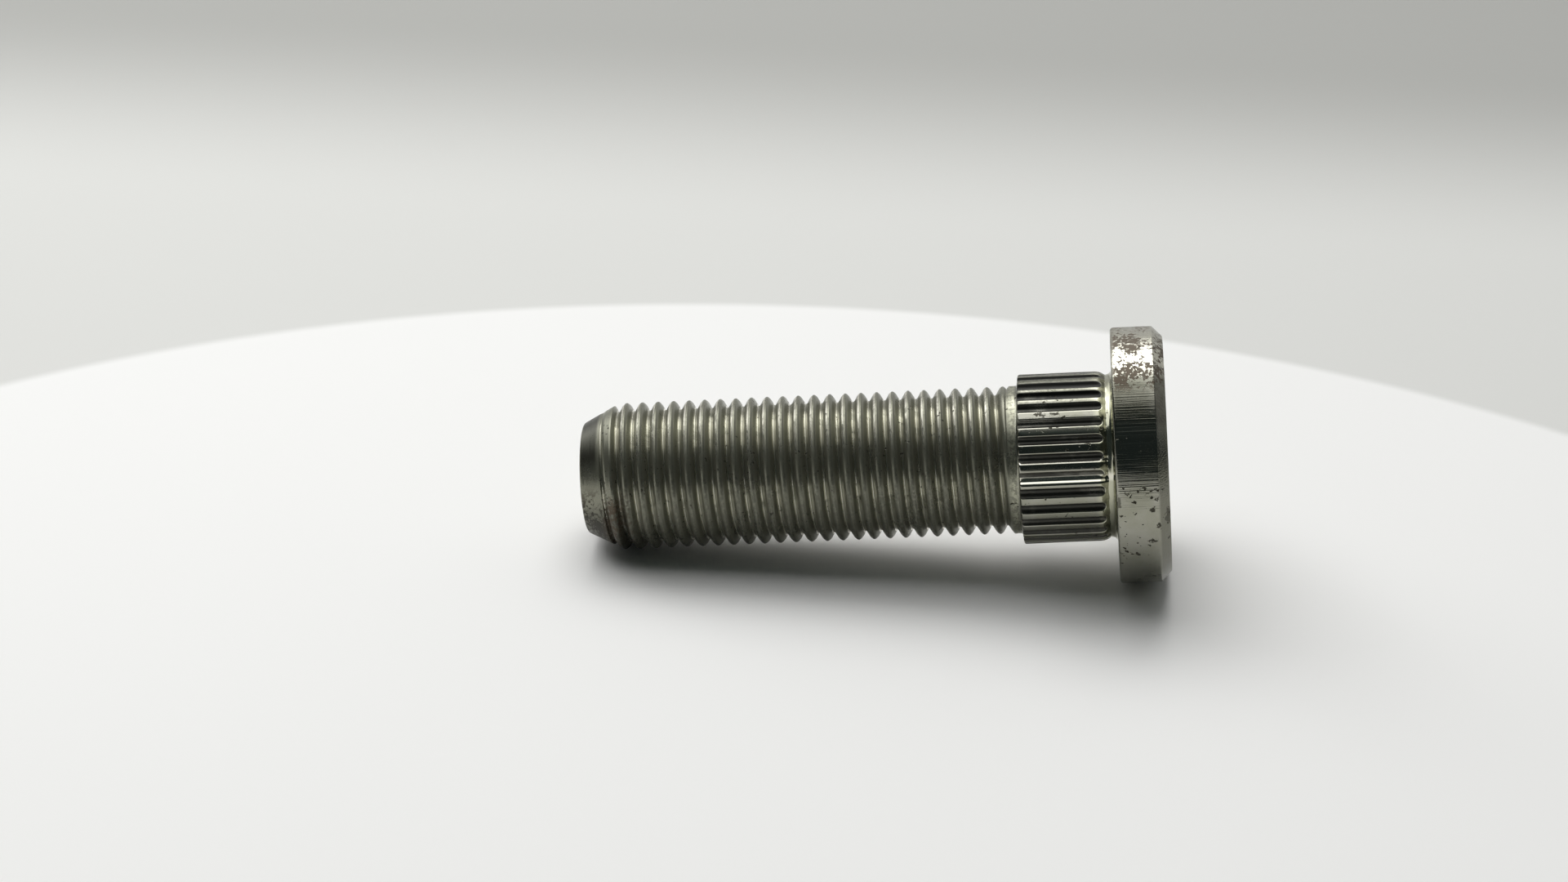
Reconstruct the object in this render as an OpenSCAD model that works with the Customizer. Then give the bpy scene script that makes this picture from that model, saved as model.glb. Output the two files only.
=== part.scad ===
// Press-in wheel stud: one forged and rolled piece of zinc-plated steel.
// The stud stands on its head. Z runs along its axis, and the origin is the centre of the
// seat, the underside of the head that is drawn up against the back of a wheel hub.

/* [Head] */
// Diameter of the round head
head_d = 24.2; // [22:0.1:32]
// Thickness of the head, from its end face to the seat
head_t = 4.9; // [3.6:0.1:8]
// Leg of the 45 degree chamfer round the end face
head_chamfer = 1; // [0.5:0.1:1.6]
// Rounding where the rim meets the seat
head_edge_r = 0.3; // [0.1:0.05:0.6]
// Diameter of the floor of the round recess in the end face
recess_floor_d = 14.2; // [8:0.1:17]
// Run of the recess wall between its floor and its mouth
recess_wall = 1.3; // [0.8:0.1:1.8]
// Depth of the recess
recess_depth = 1.2; // [0.6:0.1:2.4]

/* [Serrated collar] */
// Distance from the seat to the thread side of the collar
collar_end = 8.9; // [6:0.1:16]
// Height of the serration crests above the thread crests
crest_rise = 1.05; // [0.6:0.05:1.4]
// Number of serrations
tooth_count = 30; // [20:1:40]
// Width of each groove between two crests
groove_w = 0.87; // [0.6:0.01:1.1]
// Depth of each groove
groove_d = 0.4; // [0.2:0.01:0.5]
// Length over which the crests fade out towards the head
crest_fade = 1.2; // [0.8:0.05:2]
// Length of the plain neck between the seat and the fading crests
neck_len = 0.7; // [0.65:0.05:1.2]
// Depth of the neck below the crests
neck_drop = 0.35; // [0.25:0.01:0.5]
// Distance from the seat to the start of the grooves
groove_start = 0.95; // [0.8:0.05:1.5]
// Length over which a groove deepens from its start
groove_ease = 0.45; // [0.3:0.05:0.8]
// Radius of the fillet between the neck and the seat
seat_fillet_r = 0.6; // [0.3:0.05:0.65]
// Leg of the chamfer at the thread side of the collar
collar_chamfer = 0.2; // [0.1:0.05:0.35]

/* [Thread] */
// Distance from the seat to the tip, the nominal length of the stud
stud_len = 50.5; // [34:0.5:90]
// Major diameter of the thread
thread_d = 14; // [11.5:0.5:17]
// Pitch of the thread
pitch = 1.5; // [1.2:0.05:2]
// Depth of the thread
thread_depth = 0.85; // [0.6:0.01:1.1]
// Width of the land on each crest
crest_land = 0.4; // [0.15:0.01:0.45]
// Width of the land in each root
root_land = 0.12; // [0.08:0.01:0.25]
// Plain band between the collar and the run-out of the thread
runout_band = 0.9; // [0.1:0.05:1.2]
// Length over which the thread roots rise to that band
runout_len = 0.8; // [0.5:0.05:2.5]
// Turn of the thread's start about the axis, in degrees
thread_turn = 108; // [0:1:359]

/* [Tip] */
// How far the edge of the flat end lies inside the thread roots
tip_inset = 0.9; // [0.5:0.05:2]
// Angle of the lead cone to the axis
lead_angle = 27.3; // [18:0.1:35]
// Rounding where the lead cone meets the flat end
tip_edge_r = 0.3; // [0.1:0.05:0.6]

/* [Hidden] */
$fn = 96;

head_r = head_d / 2;
recess_floor_r = recess_floor_d / 2;
crest_r = thread_d / 2 + crest_rise;
groove_floor_r = crest_r - groove_d;
neck_r = crest_r - neck_drop;
// A groove is cut by a round cutter: the circle that passes through both edges and the floor.
cutter_r = (groove_w * groove_w / 4 + groove_d * groove_d) / (2 * groove_d);
cutter_overrun = 1;

major_r = thread_d / 2;
root_r = major_r - thread_depth;
flank = (pitch - crest_land - root_land) / 2;
tip_r = root_r - tip_inset;

// Facets of the thread: steps in one turn, and the corners of one ridge as [height, radius].
turn_steps = 36;
ridge = [
    [0, root_r],
    [root_land, root_r],
    [root_land + flank, major_r],
    [root_land + flank + crest_land, major_r]
];
corners = len(ridge);
// The faceted thread starts and ends inside the exact solids at its two ends.
thread_cover = 0.4;
lead_skin = 0.03;
thread_start = collar_end - pitch - thread_cover;
thread_steps = floor((stud_len - thread_cover - pitch - thread_start) / pitch * turn_steps);
// Height at which the lead cone has come down to the roots of the thread.
lead_base = stud_len - (root_r + lead_skin - tip_r) / tan(lead_angle);

// Points on an arc about [cx, cy], from angle a0 to angle a1.
function arc(cx, cy, r, a0, a1, steps = 6) =
    [for (k = [0 : steps]) let (a = a0 + (a1 - a0) * k / steps) [cx + r * cos(a), cy + r * sin(a)]];

// Radius of the lead cone at height z.
function lead_r(z) = tip_r + (stud_len - z) * tan(lead_angle);

// Radius that the run-out reaches at height z: full at the band, then a hollow curve to the roots.
function runout_r(z) =
    let (t = max(0, min(1, (z - collar_end - runout_band) / runout_len)))
    root_r + thread_depth * (1 - t) * (1 - t);

// Point of the thread surface at a step along the helix and a corner of the ridge.
function thread_point(step, corner) =
    let (
        a = 360 * step / turn_steps,
        z = thread_start + pitch * step / turn_steps + ridge[corner][0],
        r = min(max(ridge[corner][1], runout_r(z)), lead_r(z) - lead_skin)
    )
    [r * cos(a), r * sin(a), z];

// The forged blank as a revolved outline: head with its recess, seat, neck and collar.
module blank() {
    rotate_extrude()
        polygon(concat(
            [[0, recess_depth - head_t], [recess_floor_r, recess_depth - head_t]],
            [[recess_floor_r + recess_wall, -head_t]],
            [[head_r - head_chamfer, -head_t], [head_r, head_chamfer - head_t]],
            arc(head_r - head_edge_r, -head_edge_r, head_edge_r, 0, 90),
            arc(neck_r + seat_fillet_r, seat_fillet_r, seat_fillet_r, 270, 180),
            [[neck_r, neck_len], [crest_r, neck_len + crest_fade]],
            [[crest_r, collar_end - collar_chamfer], [crest_r - collar_chamfer, collar_end]],
            [[0, collar_end]]
        ));
}

// One groove cutter of the serrations at the front: a short cone that deepens to the groove's
// floor, and a cylinder from there out past the collar.
module groove_cutter() {
    cylinder_len = collar_end - groove_start - groove_ease + cutter_overrun;
    translate([0, -groove_floor_r - cutter_r, groove_start])
        rotate_extrude($fn = 32)
            polygon([
                [0, 0],
                [cutter_r - groove_d, 0],
                [cutter_r, groove_ease],
                [cutter_r, groove_ease + cylinder_len],
                [0, groove_ease + cylinder_len]
            ]);
}

// The blank with its ring of serrations, the first groove at the front.
module serrated_blank() {
    difference() {
        blank();
        for (k = [0 : tooth_count - 1])
            rotate(k * 360 / tooth_count) groove_cutter();
    }
}

// The rolled right-hand thread as one closed surface, swept along its helix. Corner 0 of the
// ridge runs one turn further than the others, because each turn ends on the next one's start.
module thread() {
    last = thread_steps;
    first_row = [for (i = [0 : last + turn_steps]) thread_point(i, 0)];
    other_rows = [for (i = [0 : last]) for (j = [1 : corners - 1]) thread_point(i, j)];
    collar_hub = [0, 0, thread_start + pitch / 2];
    tip_hub = [0, 0, thread_start + pitch * (last / turn_steps + 0.5)];
    hub_index = len(first_row) + len(other_rows);

    function at(i, j) =
        j == corners ? i + turn_steps
        : j == 0 ? i
        : len(first_row) + i * (corners - 1) + j - 1;

    sides = [
        for (i = [0 : last - 1]) for (j = [0 : corners - 1])
            each [
                [at(i, j), at(i, j + 1), at(i + 1, j + 1)],
                [at(i, j), at(i + 1, j + 1), at(i + 1, j)]
            ]
    ];
    collar_cap = concat(
        [for (i = [0 : turn_steps - 1]) [i, i + 1, hub_index]],
        [for (j = [0 : corners - 1]) [at(0, j + 1), at(0, j), hub_index]]
    );
    tip_cap = concat(
        [for (i = [last : last + turn_steps - 1]) [i + 1, i, hub_index + 1]],
        [for (j = [0 : corners - 1]) [at(last, j), at(last, j + 1), hub_index + 1]]
    );
    polyhedron(
        points = concat(first_row, other_rows, [collar_hub, tip_hub]),
        faces = concat(sides, collar_cap, tip_cap),
        convexity = 10
    );
}

// The plain lead cone and flat end of the tip.
module tip() {
    edge_centre_r = tip_r - tip_edge_r * tan(45 - lead_angle / 2);
    rotate_extrude()
        polygon(concat(
            [[0, lead_base], [lead_r(lead_base), lead_base]],
            arc(edge_centre_r, stud_len - tip_edge_r, tip_edge_r, lead_angle, 90),
            [[0, stud_len]]
        ));
}

// The whole stud is one piece.
module wheel_stud() {
    color([0.42, 0.41, 0.36])
        union() {
            serrated_blank();
            rotate(thread_turn) thread();
            tip();
        }
}

wheel_stud();
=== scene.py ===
"""Looks of a press-in wheel stud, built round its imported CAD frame.

The stud is one forged and rolled piece of dull zinc-plated steel. Its skin is made here as one closed
mesh: the head with its dished end face, the serrated collar and the right-hand thread. The frame's Z
axis is the stud's axis, from the seat under the head to the tip. Sizes are in millimetres up to the
point where a mesh is made, and in metres from there on.
"""

import logging
import math
from dataclasses import dataclass, field

import bpy
import numpy as np
from mathutils import Matrix, Vector

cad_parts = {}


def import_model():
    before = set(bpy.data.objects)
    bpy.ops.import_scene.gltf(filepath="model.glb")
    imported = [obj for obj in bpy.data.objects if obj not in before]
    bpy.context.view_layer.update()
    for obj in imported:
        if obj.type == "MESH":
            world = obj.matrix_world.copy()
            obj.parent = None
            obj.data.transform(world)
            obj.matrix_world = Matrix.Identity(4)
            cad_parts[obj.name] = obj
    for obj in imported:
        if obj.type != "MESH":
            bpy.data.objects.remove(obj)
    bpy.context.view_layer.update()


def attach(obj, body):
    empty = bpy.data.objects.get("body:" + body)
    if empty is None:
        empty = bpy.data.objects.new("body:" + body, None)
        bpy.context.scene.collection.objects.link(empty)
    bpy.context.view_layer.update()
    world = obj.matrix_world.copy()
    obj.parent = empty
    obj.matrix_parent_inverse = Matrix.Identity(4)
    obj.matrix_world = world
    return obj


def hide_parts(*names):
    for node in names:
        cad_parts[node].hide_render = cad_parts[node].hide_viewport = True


LOG = logging.getLogger("wheel_stud")
MM = 0.001
FULL_TURN = 2.0 * math.pi
# Points closer than about 1 / 5000 mm are welded
WELD_PER_MM = 5000.0
# Millimetres between a rounding and the next row of the flat beside it, which keeps the shading flat
FLAT_GAP = 0.2
NODE = "wheel_stud"
SLOT = "zinc_steel"

Rgba = tuple[float, float, float, float]
Socket = bpy.types.NodeSocket
Value = float | Socket


def smooth_max(a: np.ndarray, b: np.ndarray | float, blend: float) -> np.ndarray:
    """Larger of two values, with a parabola of length blend where they cross.

    Args:
        a: First values.
        b: Second values.
        blend: Difference below which the parabola rounds the corner.

    Returns:
        The rounded larger value.
    """
    overlap = np.maximum(blend - np.abs(a - b), 0.0)
    return np.maximum(a, b) + overlap * overlap / (4.0 * blend)


def smooth_min(a: np.ndarray, b: np.ndarray | float, blend: float) -> np.ndarray:
    """Smaller of two values, rounded as smooth_max rounds the larger."""
    return -smooth_max(-np.asarray(a), -np.asarray(b), blend)


def smooth_step(t: np.ndarray) -> np.ndarray:
    """Zero below 0, one above 1, and the cubic 3t^2 - 2t^3 between."""
    t = np.clip(t, 0.0, 1.0)
    return t * t * (3.0 - 2.0 * t)


def arc(centre: tuple[float, float], radius: float, start: float, end: float, steps: int) -> np.ndarray:
    """Points on a circular arc, as rows of radius and height.

    Args:
        centre: Centre of the arc as radius and height.
        radius: Radius of the arc.
        start: First angle in degrees, from the outward direction towards +Z.
        end: Last angle in degrees.
        steps: Number of equal steps.

    Returns:
        An array of steps + 1 rows.
    """
    angle = np.radians(np.linspace(start, end, steps + 1))
    return np.stack([centre[0] + radius * np.cos(angle), centre[1] + radius * np.sin(angle)], 1)


def line(start: tuple[float, float], end: tuple[float, float], steps: int) -> np.ndarray:
    """Equal steps along a straight line from start to end, as rows of radius and height."""
    t = np.linspace(0.0, 1.0, steps + 1)[:, None]
    return np.asarray(start) * (1.0 - t) + np.asarray(end) * t


def new_object(name: str, data: bpy.types.ID) -> bpy.types.Object:
    """Makes an object of a mesh, lamp or camera and links it to the scene."""
    made = bpy.data.objects.new(name, data)
    bpy.context.scene.collection.objects.link(made)
    return made


def cartesian(angle: np.ndarray, radius: np.ndarray, height: np.ndarray) -> np.ndarray:
    """Rows of X, Y and Z: radius times the cosine and the sine of the angle, and the height."""
    return np.stack([radius * np.cos(angle), radius * np.sin(angle), height], 1)


@dataclass
class Skin:
    """Collects patches of a surface in cylindrical coordinates and welds them into one mesh."""

    points: list[np.ndarray] = field(default_factory=list)
    quads: list[np.ndarray] = field(default_factory=list)
    tris: list[np.ndarray] = field(default_factory=list)
    count: int = 0

    def add_points(self, angle: np.ndarray, radius: np.ndarray, height: np.ndarray) -> np.ndarray:
        """Adds points given by angle in radians, radius and height in millimetres.

        Returns:
            The index of each point, in the shape of the arrays.
        """
        shape = np.broadcast_shapes(angle.shape, radius.shape, height.shape)
        full = [np.broadcast_to(values, shape).ravel() for values in (angle, radius, height)]
        self.points.append(np.stack(full, 1))
        index = np.arange(self.count, self.count + full[0].size).reshape(shape)
        self.count += full[0].size
        return index

    def add_grid(self, angle: np.ndarray, radius: np.ndarray, height: np.ndarray) -> None:
        """Adds a patch whose rows climb the outline and whose columns turn anticlockwise.

        Args:
            angle: Angle of each point, with the last column one full turn after the first.
            radius: Radius of each point in millimetres.
            height: Height of each point in millimetres.
        """
        index = self.add_points(angle, radius, height)
        corners = (index[:-1, :-1], index[:-1, 1:], index[1:, 1:], index[1:, :-1])
        self.quads.append(np.stack([corner.ravel() for corner in corners], 1))

    def add_step(self, coarse: np.ndarray, fine: np.ndarray, fine_above: bool) -> None:
        """Joins a ring of n edges to a ring of 3n edges with a quad and two triangles for each edge.

        Args:
            coarse: Rows of angle, radius and height of the coarse ring, n + 1 rows.
            fine: The same for the fine ring, 3n + 1 rows.
            fine_above: Whether the fine ring comes later along the outline.
        """
        c = self.add_points(*coarse.T)
        f = self.add_points(*fine.T)
        near, far = c[:-1], c[1:]
        f0, f1, f2, f3 = f[:-1:3], f[1::3], f[2::3], f[3::3]
        quad = np.stack([near, far, f2, f1], 1)
        left = np.stack([near, f1, f0], 1)
        right = np.stack([far, f3, f2], 1)
        step = slice(None) if fine_above else slice(None, None, -1)
        self.quads.append(quad[:, step])
        self.tris += [left[:, step], right[:, step]]

    def build(self, name: str, shape: "StudShape") -> bpy.types.Object:
        """Welds points at the same place, which closes the seams and the poles, and makes the object.

        Args:
            name: Name of the object and its mesh.
            shape: The shape that gives each point its unevenness and its values for the material.

        Returns:
            The smooth-shaded object, linked to the scene.
        """
        cylindrical = np.concatenate(self.points)
        key = np.round(cartesian(*cylindrical.T) * WELD_PER_MM).astype(np.int64)
        _, first, welded = np.unique(key, axis=0, return_index=True, return_inverse=True)
        welded = welded.ravel()
        angle, radius, height = cylindrical[first].T
        place = cartesian(angle, shape.uneven(angle, radius, height), height) * MM
        faces = [row for block in self.quads + self.tris for row in welded[block].tolist()]
        faces = [clean for clean in (list(dict.fromkeys(face)) for face in faces) if len(clean) > 2]
        mesh = bpy.data.meshes.new(name)
        mesh.from_pydata(place.tolist(), [], faces)
        mesh.validate()
        mesh.shade_smooth()
        for kind, values in shape.surface_values(angle, radius, height).items():
            layer = mesh.attributes.new(kind, "FLOAT", "POINT")
            layer.data.foreach_set("value", values.astype(np.float32))
        return new_object(name, mesh)


@dataclass(frozen=True)
class HeadSizes:
    """Sizes of the round head, in millimetres."""

    radius: float = 12.1
    thickness: float = 4.9
    chamfer: float = 1.0
    edge_round: float = 0.3
    recess_floor_radius: float = 7.1
    recess_wall: float = 1.3
    recess_depth: float = 1.2
    recess_floor_round: float = 0.5
    recess_mouth_round: float = 0.25
    chamfer_round: float = 0.12


@dataclass(frozen=True)
class GrooveTrait:
    """How one groove differs from the rest.

    index counts anticlockwise from the front, shift is in spacings, widen is a share of the width and
    lip is the width in millimetres of a flat worn on the crest beside it, on its clockwise side.
    """

    index: int
    shift: float = 0.0
    widen: float = 0.0
    lip: float = 0.0


@dataclass(frozen=True)
class CollarSizes:
    """Sizes of the serrated collar and the neck under it, in millimetres.

    crest_crown is how far a crest falls to its edges, crown_reach where that fall stops, in half crest
    widths, unevenness the spread of the grooves' places in spacings, and lip_slope the fall of a worn
    flat for each millimetre of its width.
    """

    end: float = 8.9
    crest_radius: float = 8.05
    grooves: int = 30
    groove_width: float = 0.87
    groove_depth: float = 0.4
    groove_start: float = 0.95
    groove_ease: float = 0.45
    crest_fade: float = 1.2
    neck_length: float = 0.7
    neck_radius: float = 7.7
    seat_fillet: float = 0.6
    end_chamfer: float = 0.2
    edge_blend: float = 0.09
    crest_crown: float = 0.03
    crown_reach: float = 1.2
    unevenness: float = 0.02
    lip_slope: float = 1.1
    traits: tuple[GrooveTrait, ...] = (
        GrooveTrait(0, lip=0.08),
        GrooveTrait(29, lip=0.28),
        GrooveTrait(3, widen=0.1),
        GrooveTrait(4, shift=-0.12, widen=0.16),
        GrooveTrait(5, shift=-0.14, widen=0.3),
        GrooveTrait(6, shift=-0.04, widen=0.12),
    )


@dataclass(frozen=True)
class ThreadSizes:
    """Sizes of the thread and the tip, in millimetres.

    worn_slope and worn_inset give the facet worn on a crest's corners: its rise for each millimetre and
    its distance from the crest's middle. root_height_at_x is where the first root crosses the X axis,
    foot_face the flat kept outside the round at the thread's foot, and lead_stretch the length at the
    tip that holds no whole turn.
    """

    end: float = 50.5
    major_radius: float = 7.0
    pitch: float = 1.5
    depth: float = 0.85
    crest_land: float = 0.4
    root_land: float = 0.12
    worn_slope: float = 0.85
    worn_inset: float = 0.08
    crest_blend: float = 0.05
    root_blend: float = 0.14
    runout_band: float = 0.9
    runout_length: float = 0.8
    runout_blend: float = 0.1
    foot_round: float = 0.3
    foot_face: float = 0.04
    tip_radius: float = 5.25
    lead_angle: float = 27.3
    lead_blend: float = 0.08
    lead_stretch: float = 1.2
    tip_edge_round: float = 0.3
    root_height_at_x: float = 9.62


@dataclass
class StudShape:
    """The whole surface of the stud as a radius for each angle and height.

    waves is the number of shallow waves that make the forged surface uneven, and wave_height the height
    of each in millimetres. They fade out between the two radii of wave_fade.
    """

    head: HeadSizes = field(default_factory=HeadSizes)
    collar: CollarSizes = field(default_factory=CollarSizes)
    thread: ThreadSizes = field(default_factory=ThreadSizes)
    seed: int = 11
    waves: int = 10
    wave_height: float = 0.0022
    wave_fade: tuple[float, float] = (3.0, 6.0)

    def lead_radius(self, height: np.ndarray) -> np.ndarray:
        """Radius of the lead cone: the tip's radius plus the tangent of its angle for each mm down."""
        slope = math.tan(math.radians(self.thread.lead_angle))
        return self.thread.tip_radius + (self.thread.end - height) * slope

    def thread_radius(self, angle: np.ndarray, height: np.ndarray) -> np.ndarray:
        """Radius of the threaded surface.

        The distance to the nearest root is height less pitch times turns, wrapped to half a pitch. The
        ridge rises from the root land along a 60 degree flank to the crest, whose corner is worn to a
        flatter slope, with all corners rounded. It is held above the run-out curve next to the collar
        and below the lead cone.

        Args:
            angle: Angle of each point in radians.
            height: Height of each point in millimetres.

        Returns:
            The radius of each point in millimetres.
        """
        t = self.thread
        phase = (height - t.root_height_at_x) / t.pitch - angle / FULL_TURN
        to_root = np.abs(phase - np.round(phase)) * t.pitch
        run = 0.5 * (t.pitch - t.crest_land - t.root_land)
        climb = (to_root - 0.5 * t.root_land) / run * t.depth
        worn = t.depth + t.worn_slope * (to_root - 0.5 * t.pitch + t.worn_inset)
        ridge = smooth_min(smooth_max(climb, 0.0, t.root_blend), worn, t.crest_blend)
        ridge = smooth_min(ridge, t.depth, t.crest_blend)
        along = np.clip((height - self.collar.end - t.runout_band) / t.runout_length, 0.0, 1.0)
        runout = t.depth * (1.0 - along) ** 2
        radius = t.major_radius - t.depth + smooth_max(ridge, runout, t.runout_blend)
        return smooth_min(radius, self.lead_radius(height), t.lead_blend)

    def collar_radius(self, angle: np.ndarray, height: np.ndarray) -> np.ndarray:
        """Radius of the serrated surface.

        Each groove is the arc of a round cutter across its width. The cutter's radius grows from nothing
        cut to the full depth along a quarter of a circle, so a groove starts with a rounded end. The
        crests follow an outline that climbs from the neck along a cubic curve, runs level and rounds off
        at the thread side. No two grooves are quite alike in place, width and depth.

        Args:
            angle: Angle of each point in radians.
            height: Height of each point in millimetres.

        Returns:
            The radius of each point in millimetres.
        """
        c = self.collar
        phase, shift, widen, _, deepen = self.nearest_groove(angle)
        width = self.spacing_width()
        across = np.abs(phase - np.round(phase) - shift) * width
        half = 0.5 * c.groove_width * (1.0 + widen)
        depth = c.groove_depth * (1.0 + deepen)
        cutter = (half * half + depth**2) / (2.0 * depth)
        centre = c.crest_radius - depth + cutter
        ease = np.clip((height - c.groove_start) / c.groove_ease, 0.0, 1.0)
        reach = cutter - depth * (1.0 - np.sqrt(1.0 - (1.0 - ease) ** 2))
        groove = centre - np.sqrt(np.maximum(reach**2 - across**2, 0.0))
        from_crest = np.abs(phase - np.floor(phase) - 0.5) / (0.5 - 0.5 * c.groove_width / width)
        crest = self.crest_radius(height) - c.crest_crown * np.minimum(from_crest, c.crown_reach) ** 2
        crest = crest - c.lip_slope * self.lip_width(angle)
        return smooth_min(groove, crest, c.edge_blend)

    def lip_width(self, angle: np.ndarray) -> np.ndarray:
        """Distance in millimetres from the inner edge of the worn flat beside a groove, or 0 off it."""
        phase, shift, widen, lip, _ = self.nearest_groove(angle)
        off = (np.round(phase) + shift - phase) * self.spacing_width()
        past_edge = off - 0.5 * self.collar.groove_width * (1.0 + widen)
        return np.where(off > 0.0, np.maximum(lip - np.maximum(past_edge, 0.0), 0.0), 0.0)

    def spacing_width(self) -> float:
        """Distance in millimetres from one groove to the next, round the crests."""
        return FULL_TURN / self.collar.grooves * self.collar.crest_radius

    def nearest_groove(self, angle: np.ndarray) -> tuple[np.ndarray, ...]:
        """Place of each angle counted in grooves from the front, and its nearest groove's traits.

        Args:
            angle: Angles in radians.

        Returns:
            The place, and the shift, widening, lip and deepening.
        """
        phase = (angle + 0.25 * FULL_TURN) / (FULL_TURN / self.collar.grooves)
        groove = np.round(phase).astype(int) % self.collar.grooves
        return phase, *self.groove_traits()[:, groove]

    def groove_traits(self) -> np.ndarray:
        """Rows of shift, widening, lip and deepening, one column for each groove.

        The widening spreads twice as far as the shift, and the deepening three times.
        """
        c = self.collar
        rng = np.random.default_rng(self.seed + 1)
        shift, widen, deepen = rng.normal(0.0, c.unevenness, (3, c.grooves))
        rows = np.stack([shift, 2.0 * widen, np.zeros(c.grooves), 3.0 * deepen])
        for trait in c.traits:
            rows[:3, trait.index] += (trait.shift, trait.widen, trait.lip)
        return rows

    def foot_edge(self) -> float:
        """Radius at which the collar's flat end meets the thread's foot."""
        return self.thread.major_radius + self.thread.foot_round + self.thread.foot_face

    def crest_radius(self, height: np.ndarray) -> np.ndarray:
        """Radius of the collar's crests, and of the plain neck below them."""
        c = self.collar
        left = 1.0 - np.clip((height - c.neck_length) / c.crest_fade, 0.0, 1.0)
        edge = np.clip((height - c.end + c.end_chamfer) / c.end_chamfer, 0.0, 1.0)
        rounding = c.end_chamfer * (1.0 - np.sqrt(np.maximum(1.0 - edge**2, 0.0)))
        return c.crest_radius - (c.crest_radius - c.neck_radius) * left**3 - rounding

    def uneven(self, angle: np.ndarray, radius: np.ndarray, height: np.ndarray) -> np.ndarray:
        """Radius with the shallow unevenness of a forged piece: a sum of sine waves over the surface.

        Args:
            angle: Angle of each point in radians.
            radius: Radius of each point in millimetres.
            height: Height of each point in millimetres.

        Returns:
            The uneven radius in millimetres.
        """
        rng = np.random.default_rng(self.seed)
        drift = np.zeros_like(radius)
        for _ in range(self.waves):
            around = rng.integers(1, 9)
            along = rng.uniform(0.1, 1.3)
            shift = rng.uniform(0.0, FULL_TURN)
            drift += np.sin(around * angle + along * height + shift)
        inner, outer = self.wave_fade
        return radius + drift * self.wave_height * smooth_step((radius - inner) / (outer - inner))

    def surface_values(
        self, angle: np.ndarray, radius: np.ndarray, height: np.ndarray
    ) -> dict[str, np.ndarray]:
        """Values for the material at each point.

        relief is 0 on the floors of the collar's grooves and 1 on its crests and everywhere else. polish
        is 1 on the worn flats of the collar. turn_cos and turn_sin are the cosine and sine of the place
        across one thread ridge, where a full circle is one pitch, 0 is the root and the angle grows
        towards the tip. They fade to 0 off the thread.

        Args:
            angle: Angle of each point in radians.
            radius: Radius of each point in millimetres.
            height: Height of each point in millimetres.

        Returns:
            The values of each point by name.
        """
        t, c = self.thread, self.collar
        polish_edge, crest_share, lead_fade = 0.12, 0.7, 0.1
        in_thread = (height > c.end) & (radius > t.tip_radius)
        in_collar = (height > 0.0) & (height <= c.end)
        lip = self.lip_width(angle) * in_collar
        collar_relief = (radius + c.lip_slope * lip - self.crest_radius(height)) / c.groove_depth + 1.0
        relief = np.where(in_collar, collar_relief, 1.0)
        across = FULL_TURN * (height - t.root_height_at_x) / t.pitch - angle
        rolled = smooth_step((height - c.end - t.runout_band) / t.runout_length)
        rolled = rolled * smooth_step((self.lead_radius(height) - radius) / lead_fade) * in_thread
        return {
            "relief": np.clip(relief, 0.0, 1.0),
            "polish": np.clip(lip / polish_edge, 0.0, 1.0) * (relief > crest_share),
            "turn_cos": np.cos(across) * rolled,
            "turn_sin": np.sin(across) * rolled,
        }


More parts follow.
